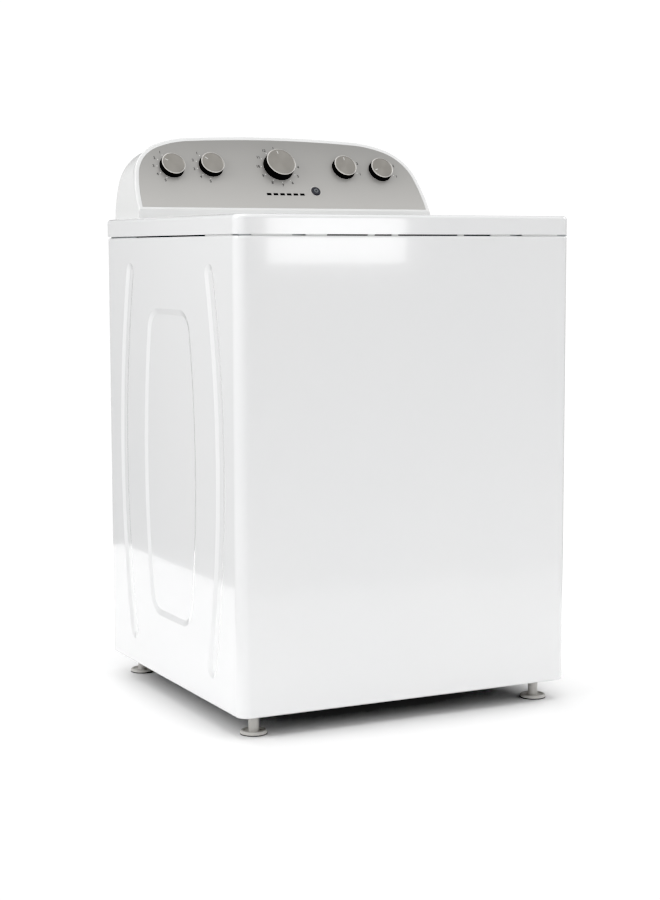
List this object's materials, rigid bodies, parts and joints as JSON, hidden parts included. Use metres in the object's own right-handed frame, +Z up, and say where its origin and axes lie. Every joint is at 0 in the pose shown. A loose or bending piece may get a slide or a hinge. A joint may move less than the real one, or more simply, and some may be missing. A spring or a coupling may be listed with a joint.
{
  "type": "top load washing machine",
  "caption": "Top loading washing machine with a hinged lid, an agitator in a spinning basket, a sprung tub and a leaning control console with turning knobs.",
  "frame": {"origin": "on the floor, below the middle of the cabinet's plan", "axes": "+Z up, -Y the front with the lid's free edge, +Y the rear with the console, +X the front's right"},
  "size_m": [0.699, 0.66, 1.1179],
  "materials": {
    "white_enamel": "gloss white enamel on steel sheet",
    "zinc_sheet": "zinc coated steel sheet",
    "zinc_rod": "zinc coated steel rod",
    "spring_steel": "oiled spring steel",
    "bright_steel": "ground steel",
    "stainless_sheet": "brushed stainless sheet",
    "white_plastic": "gloss white moulding",
    "pale_plastic": "pale grey moulding",
    "agitator_plastic": "pale blue grey moulding",
    "grey_plastic": "mid grey moulding",
    "dark_plastic": "satin black moulding",
    "smoked_window": "smoked lens",
    "silver_fascia": "silver painted moulding",
    "silver_cap": "satin silver painted cap",
    "foot_plastic": "light grey moulding",
    "black_rubber": "moulded rubber",
    "grey_rubber": "moulded rubber",
    "cast_aluminium": "as cast",
    "motor_finish": "dark painted motor frame",
    "board_green": "circuit board lacquer"
  },
  "bodies": {
    "cabinet": {"cabinet_shell": "white_enamel", "rear_panel": "zinc_sheet", "base_rails": "zinc_sheet", "foot_nuts": "zinc_rod", "corner_braces": "zinc_sheet", "top_panel": "white_enamel", "hinge_bushes": "white_plastic", "lid_bumpers": "grey_rubber", "lid_lock": "dark_plastic", "bleach_dispenser": "white_plastic", "console_housing": "white_plastic", "console_rear_cover": "zinc_sheet", "fascia": "silver_fascia", "status_lights": "smoked_window", "rotary_switches": "grey_plastic", "control_board": "board_green", "inlet_valve": "grey_plastic", "cord_gland": "dark_plastic", "suspension_rods": "zinc_rod", "suspension_springs": "spring_steel"},
    "lid": {"lid_skin": "white_enamel", "lid_liner": "white_enamel", "lid_strike": "white_plastic", "hinge_pins": "bright_steel"},
    "tub": {"outer_tub": "pale_plastic", "tub_ring": "pale_plastic", "tub_seal": "black_rubber", "spin_bearings": "bright_steel", "gearcase": "cast_aluminium", "drive_motor": "motor_finish", "drive_belt": "black_rubber", "drain_pump": "grey_plastic", "shift_actuator": "dark_plastic", "suspension_cups": "grey_plastic"},
    "basket": {"basket_wall": "stainless_sheet", "basket_base": "pale_plastic", "balance_ring": "pale_plastic", "spin_tube": "bright_steel", "hub_nut": "bright_steel"},
    "agitator": {"agitator_base": "agitator_plastic", "agitator_auger": "agitator_plastic", "agitator_cap": "agitator_plastic", "drive_shaft": "bright_steel"},
    "pulley": {"drive_pulley": "cast_aluminium"},
    "pinion": {"motor_pulley": "cast_aluminium"},
    "button": {"start_button": "dark_plastic"},
    "left_outer_turn": {"left_outer_knob": "dark_plastic", "left_outer_knob_cap": "silver_cap"},
    "left_inner_turn": {"left_inner_knob": "dark_plastic", "left_inner_knob_cap": "silver_cap"},
    "right_inner_turn": {"right_inner_knob": "dark_plastic", "right_inner_knob_cap": "silver_cap"},
    "right_outer_turn": {"right_outer_knob": "dark_plastic", "right_outer_knob_cap": "silver_cap"},
    "dial": {"cycle_dial": "dark_plastic", "cycle_dial_cap": "silver_cap"},
    "front_left_leveller": {"front_left_foot": "foot_plastic"},
    "front_right_leveller": {"front_right_foot": "foot_plastic"},
    "rear_left_leveller": {"rear_left_foot": "foot_plastic"},
    "rear_right_leveller": {"rear_right_foot": "foot_plastic"}
  },
  "joints": [
    {"name": "lid_hinge", "type": "hinge", "parent": "cabinet", "child": "lid", "pos_m": [0, 0.145, 0.9358], "axis": [-1, 0, 0], "range_deg": [0, 105]},
    {"name": "tub_bounce", "type": "slide", "parent": "cabinet", "child": "tub", "axis": [0, 0, 1], "range_m": [-0.03, 0.015], "stiffness_N_per_m": 20000, "springref_m": 0.0148, "deforming": ["suspension_springs"]},
    {"name": "basket_spin", "type": "hinge", "parent": "tub", "child": "basket", "pos_m": [0, 0, 0.5], "axis": [0, 0, 1], "continuous": true},
    {"name": "pulley_spin", "type": "hinge", "parent": "tub", "child": "pulley", "pos_m": [0, 0, 0.199], "axis": [0, 0, 1], "continuous": true},
    {"name": "agitator_turn", "type": "hinge", "parent": "tub", "child": "agitator", "pos_m": [0, 0, 0.55], "axis": [0, 0, 1], "continuous": true},
    {"name": "pinion_spin", "type": "hinge", "parent": "tub", "child": "pinion", "pos_m": [0.15, -0.118, 0.199], "axis": [0, 0, 1], "continuous": true},
    {"name": "button_press", "type": "slide", "parent": "cabinet", "child": "button", "axis": [0, 0.8434, -0.5373], "range_m": [0, 0.002], "stiffness_N_per_m": 400, "springref_m": -0.002},
    {"name": "left_outer_knob_turn", "type": "hinge", "parent": "cabinet", "child": "left_outer_turn", "pos_m": [-0.241, 0.24142, 1.05071], "axis": [0, -0.8434, 0.5373], "range_deg": [-120, 120]},
    {"name": "left_inner_knob_turn", "type": "hinge", "parent": "cabinet", "child": "left_inner_turn", "pos_m": [-0.1535, 0.24351, 1.05399], "axis": [0, -0.8434, 0.5373], "range_deg": [-120, 120]},
    {"name": "right_inner_knob_turn", "type": "hinge", "parent": "cabinet", "child": "right_inner_turn", "pos_m": [0.1535, 0.24351, 1.05399], "axis": [0, -0.8434, 0.5373], "range_deg": [-120, 120]},
    {"name": "right_outer_knob_turn", "type": "hinge", "parent": "cabinet", "child": "right_outer_turn", "pos_m": [0.241, 0.24142, 1.05071], "axis": [0, -0.8434, 0.5373], "range_deg": [-120, 120]},
    {"name": "dial_turn", "type": "hinge", "parent": "cabinet", "child": "dial", "pos_m": [0, 0.24416, 1.05501], "axis": [0, -0.8434, 0.5373], "continuous": true},
    {"name": "front_left_foot_screw", "type": "slide", "parent": "cabinet", "child": "front_left_leveller", "axis": [0, 0, 1], "range_m": [-0.01, 0.012]},
    {"name": "front_right_foot_screw", "type": "slide", "parent": "cabinet", "child": "front_right_leveller", "axis": [0, 0, 1], "range_m": [-0.01, 0.012]},
    {"name": "rear_left_foot_screw", "type": "slide", "parent": "cabinet", "child": "rear_left_leveller", "axis": [0, 0, 1], "range_m": [-0.01, 0.012]},
    {"name": "rear_right_foot_screw", "type": "slide", "parent": "cabinet", "child": "rear_right_leveller", "axis": [0, 0, 1], "range_m": [-0.01, 0.012]}
  ],
  "couplings": [
    {"joint": "agitator_turn", "follows": "pulley_spin", "ratio": 0.2},
    {"joint": "pinion_spin", "follows": "pulley_spin", "ratio": 5.1875}
  ]
}
